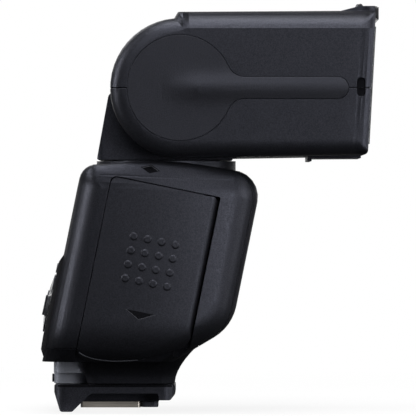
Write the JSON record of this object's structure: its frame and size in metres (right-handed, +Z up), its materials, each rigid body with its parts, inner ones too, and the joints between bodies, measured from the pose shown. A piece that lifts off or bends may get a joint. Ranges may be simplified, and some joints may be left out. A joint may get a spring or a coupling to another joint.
{
  "type": "speedlight flash",
  "caption": "Shoe-mounted flash unit with a leaning battery body, a swivelling neck, a tilting lamp head with pull-out panels, and a rear panel with display, dial and keys.",
  "frame": {"origin": "middle of the underside of the metal shoe plate, under the lock pin's line", "axes": "+Z up out of the shoe, the lamp head points along -Y, the battery door is on -X"},
  "size_m": [0.0758, 0.1137, 0.1382],
  "materials": {
    "shell_plastic": "fine matte grain",
    "cover_plastic": "smooth matte",
    "panel_plastic": "satin",
    "key_plastic": "satin",
    "test_key": "translucent",
    "inner_plastic": "moulded",
    "white_plastic": "satin",
    "soft_rubber": "soft matte",
    "steel": "brushed",
    "contact_brass": "plated",
    "mirror_metal": "polished",
    "cell_can": "wrapped",
    "capacitor_can": "sleeved",
    "circuit_board": "coated",
    "lamp_red": "tinted",
    "clear_plastic": "clear",
    "tube_glass": "clear",
    "display_glass": "gloss"
  },
  "bodies": {
    "base": {"shoe_plate": "steel", "shoe_contacts": "contact_brass", "foot_block": "shell_plastic", "foot_seal": "soft_rubber", "lock_housing": "cover_plastic", "base_cover": "shell_plastic", "body_shell": "shell_plastic", "front_cover": "cover_plastic", "af_window": "lamp_red", "af_lamp": "clear_plastic", "control_panel": "panel_plastic", "display_window": "display_glass", "display_module": "inner_plastic", "control_board": "circuit_board", "driver_board": "circuit_board", "main_capacitor": "capacitor_can", "battery_cells": "cell_can", "battery_plates": "steel", "battery_springs": "steel", "terminal_cover": "soft_rubber", "sync_sockets": "steel", "swivel_collar": "shell_plastic"},
    "lock_lever": {"lock_lever": "panel_plastic"},
    "lock_release": {"lock_release": "key_plastic"},
    "lock_pin": {"lock_pin": "steel"},
    "door_rod": {"door_hinge_rod": "steel"},
    "battery_door": {"battery_door": "shell_plastic"},
    "select_dial": {"select_dial": "key_plastic"},
    "power_switch": {"power_switch": "panel_plastic"},
    "neck": {"swivel_turntable": "steel", "neck_block": "shell_plastic", "friction_washers": "steel"},
    "head": {"tilt_axle": "steel", "head_upper_shell": "shell_plastic", "head_lower_shell": "shell_plastic", "side_cover_left": "cover_plastic", "side_cover_right": "cover_plastic", "adapter_rail": "cover_plastic", "front_lens": "clear_plastic", "zoom_rods": "steel", "zoom_motor": "capacitor_can"},
    "bounce_release": {"bounce_release": "key_plastic"},
    "zoom": {"zoom_carriage": "inner_plastic", "reflector": "mirror_metal", "flash_tube": "tube_glass", "tube_sleeves": "soft_rubber"},
    "lead_screw": {"lead_screw": "steel"},
    "wide_panel": {"wide_panel": "clear_plastic"},
    "bounce_card": {"bounce_card": "white_plastic"},
    "set_button": {"set_button": "key_plastic"},
    "soft_key_1": {"soft_key_1": "key_plastic"},
    "soft_key_2": {"soft_key_2": "key_plastic"},
    "soft_key_3": {"soft_key_3": "key_plastic"},
    "soft_key_4": {"soft_key_4": "key_plastic"},
    "menu_key": {"menu_key": "key_plastic"},
    "mode_key": {"mode_key": "key_plastic"},
    "test_button": {"test_button": "test_key"}
  },
  "joints": [
    {"name": "lock_lever_slide", "type": "slide", "parent": "base", "child": "lock_lever", "axis": [1, 0, 0], "range_m": [0, 0.006]},
    {"name": "lock_release_press", "type": "slide", "parent": "lock_lever", "child": "lock_release", "axis": [0, -1, 0], "range_m": [0, 0.0008], "stiffness_N_per_m": 400},
    {"name": "lock_pin_drop", "type": "slide", "parent": "base", "child": "lock_pin", "axis": [0, 0, -1], "range_m": [0, 0.0016]},
    {"name": "door_slide", "type": "slide", "parent": "base", "child": "door_rod", "axis": [0, 0.1994, -0.9799], "range_m": [0, 0.004]},
    {"name": "door_swing", "type": "hinge", "parent": "door_rod", "child": "battery_door", "pos_m": [-0.0323, -0.01986, 0.01257], "axis": [0, -0.1994, 0.9799], "range_deg": [0, 90]},
    {"name": "dial_turn", "type": "hinge", "parent": "base", "child": "select_dial", "pos_m": [0, 0.023, 0.03507], "axis": [0, 0.9775, 0.2109], "continuous": true},
    {"name": "power_turn", "type": "hinge", "parent": "base", "child": "power_switch", "pos_m": [-0.0185, 0.0231, 0.03458], "axis": [0, 0.9775, 0.2109], "range_deg": [-40, 40]},
    {"name": "swivel", "type": "hinge", "parent": "base", "child": "neck", "pos_m": [0, -0.0159, 0.08], "axis": [0, 0, 1], "range_deg": [-180, 180]},
    {"name": "tilt", "type": "hinge", "parent": "neck", "child": "head", "pos_m": [0, -0.0208, 0.1078], "axis": [-1, 0, 0], "range_deg": [0, 120]},
    {"name": "bounce_release_press", "type": "slide", "parent": "head", "child": "bounce_release", "axis": [-1, 0, 0], "range_m": [0, 0.0015], "stiffness_N_per_m": 600},
    {"name": "zoom_slide", "type": "slide", "parent": "head", "child": "zoom", "axis": [0, -1, 0], "range_m": [0, 0.014]},
    {"name": "lead_screw_turn", "type": "hinge", "parent": "head", "child": "lead_screw", "pos_m": [0.0298, -0.06, 0.0973], "axis": [0, -1, 0], "range_deg": [-5, 725]},
    {"name": "wide_panel_slide", "type": "slide", "parent": "head", "child": "wide_panel", "axis": [0, -1, 0], "range_m": [0, 0.032]},
    {"name": "bounce_card_slide", "type": "slide", "parent": "head", "child": "bounce_card", "axis": [0, -1, 0], "range_m": [0, 0.03]},
    {"name": "set_button_press", "type": "slide", "parent": "base", "child": "set_button", "axis": [0, -0.9775, -0.2109], "range_m": [0, 0.0006], "stiffness_N_per_m": 600},
    {"name": "soft_key_1_press", "type": "slide", "parent": "base", "child": "soft_key_1", "axis": [0, -0.9775, -0.2109], "range_m": [0, 0.0006], "stiffness_N_per_m": 600},
    {"name": "soft_key_2_press", "type": "slide", "parent": "base", "child": "soft_key_2", "axis": [0, -0.9775, -0.2109], "range_m": [0, 0.0006], "stiffness_N_per_m": 600},
    {"name": "soft_key_3_press", "type": "slide", "parent": "base", "child": "soft_key_3", "axis": [0, -0.9775, -0.2109], "range_m": [0, 0.0006], "stiffness_N_per_m": 600},
    {"name": "soft_key_4_press", "type": "slide", "parent": "base", "child": "soft_key_4", "axis": [0, -0.9775, -0.2109], "range_m": [0, 0.0006], "stiffness_N_per_m": 600},
    {"name": "menu_key_press", "type": "slide", "parent": "base", "child": "menu_key", "axis": [0, -0.9775, -0.2109], "range_m": [0, 0.0006], "stiffness_N_per_m": 600},
    {"name": "mode_key_press", "type": "slide", "parent": "base", "child": "mode_key", "axis": [0, -0.9775, -0.2109], "range_m": [0, 0.0006], "stiffness_N_per_m": 600},
    {"name": "test_button_press", "type": "slide", "parent": "base", "child": "test_button", "axis": [0, -0.9775, -0.2109], "range_m": [0, 0.0006], "stiffness_N_per_m": 600}
  ],
  "couplings": [
    {"joint": "lock_pin_drop", "follows": "lock_lever_slide", "ratio": 0.26667},
    {"joint": "lead_screw_turn", "follows": "zoom_slide", "rad_per_m": 897.6}
  ]
}
